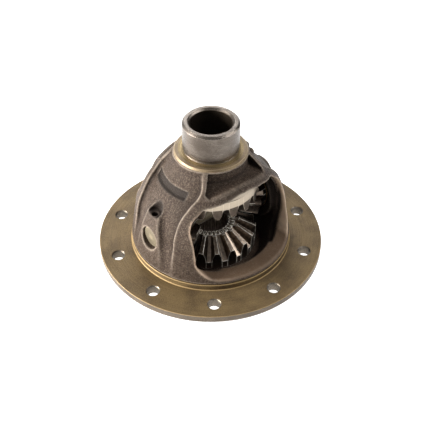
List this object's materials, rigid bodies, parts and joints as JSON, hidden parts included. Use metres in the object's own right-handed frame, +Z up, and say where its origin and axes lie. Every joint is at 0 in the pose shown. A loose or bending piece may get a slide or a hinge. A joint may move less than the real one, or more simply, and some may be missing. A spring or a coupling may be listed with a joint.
{
  "type": "open differential",
  "caption": "Open differential: one-piece flanged case with side windows, bevel side gears and pinions on a locked cross pin.",
  "frame": {"origin": "on the axle axis, at the end face of the lower bearing journal, on which the part stands", "axes": "+Z up along the axle axis, from the flange end to the long end; +X along the cross pin; the windows open toward -Y and +Y"},
  "size_m": [0.1978, 0.1978, 0.1728],
  "materials": {
    "cast_case": "rough",
    "machined_case": "satin",
    "pin_steel": "satin",
    "spring_steel": "satin",
    "gear_steel_dark": "satin",
    "gear_steel_light": "satin",
    "washer_steel": "satin",
    "washer_bronze": "satin"
  },
  "bodies": {
    "case": {"differential_case": "cast_case", "cross_pin": "pin_steel", "cross_pin_lock_pin": "spring_steel", "side_gear_washer_lower": "washer_steel", "side_gear_washer_upper": "washer_steel", "pinion_washer_left": "washer_bronze", "pinion_washer_right": "washer_bronze"},
    "lower_side_gear": {"side_gear_lower": "gear_steel_dark"},
    "upper_side_gear": {"side_gear_upper": "gear_steel_light"},
    "right_pinion": {"pinion_gear_right": "gear_steel_dark"},
    "left_pinion": {"pinion_gear_left": "gear_steel_dark"}
  },
  "joints": [
    {"name": "lower_side_gear_spin", "type": "hinge", "parent": "case", "child": "lower_side_gear", "pos_m": [0, 0, 0.083], "axis": [0, 0, 1], "continuous": true},
    {"name": "upper_side_gear_spin", "type": "hinge", "parent": "case", "child": "upper_side_gear", "pos_m": [0, 0, 0.083], "axis": [0, 0, 1], "continuous": true},
    {"name": "right_pinion_spin", "type": "hinge", "parent": "case", "child": "right_pinion", "pos_m": [0, 0, 0.083], "axis": [1, 0, 0], "continuous": true},
    {"name": "left_pinion_spin", "type": "hinge", "parent": "case", "child": "left_pinion", "pos_m": [0, 0, 0.083], "axis": [1, 0, 0], "continuous": true}
  ],
  "couplings": [
    {"joint": "upper_side_gear_spin", "follows": "lower_side_gear_spin", "ratio": -1},
    {"joint": "right_pinion_spin", "follows": "lower_side_gear_spin", "ratio": 1.8},
    {"joint": "left_pinion_spin", "follows": "lower_side_gear_spin", "ratio": -1.8}
  ]
}
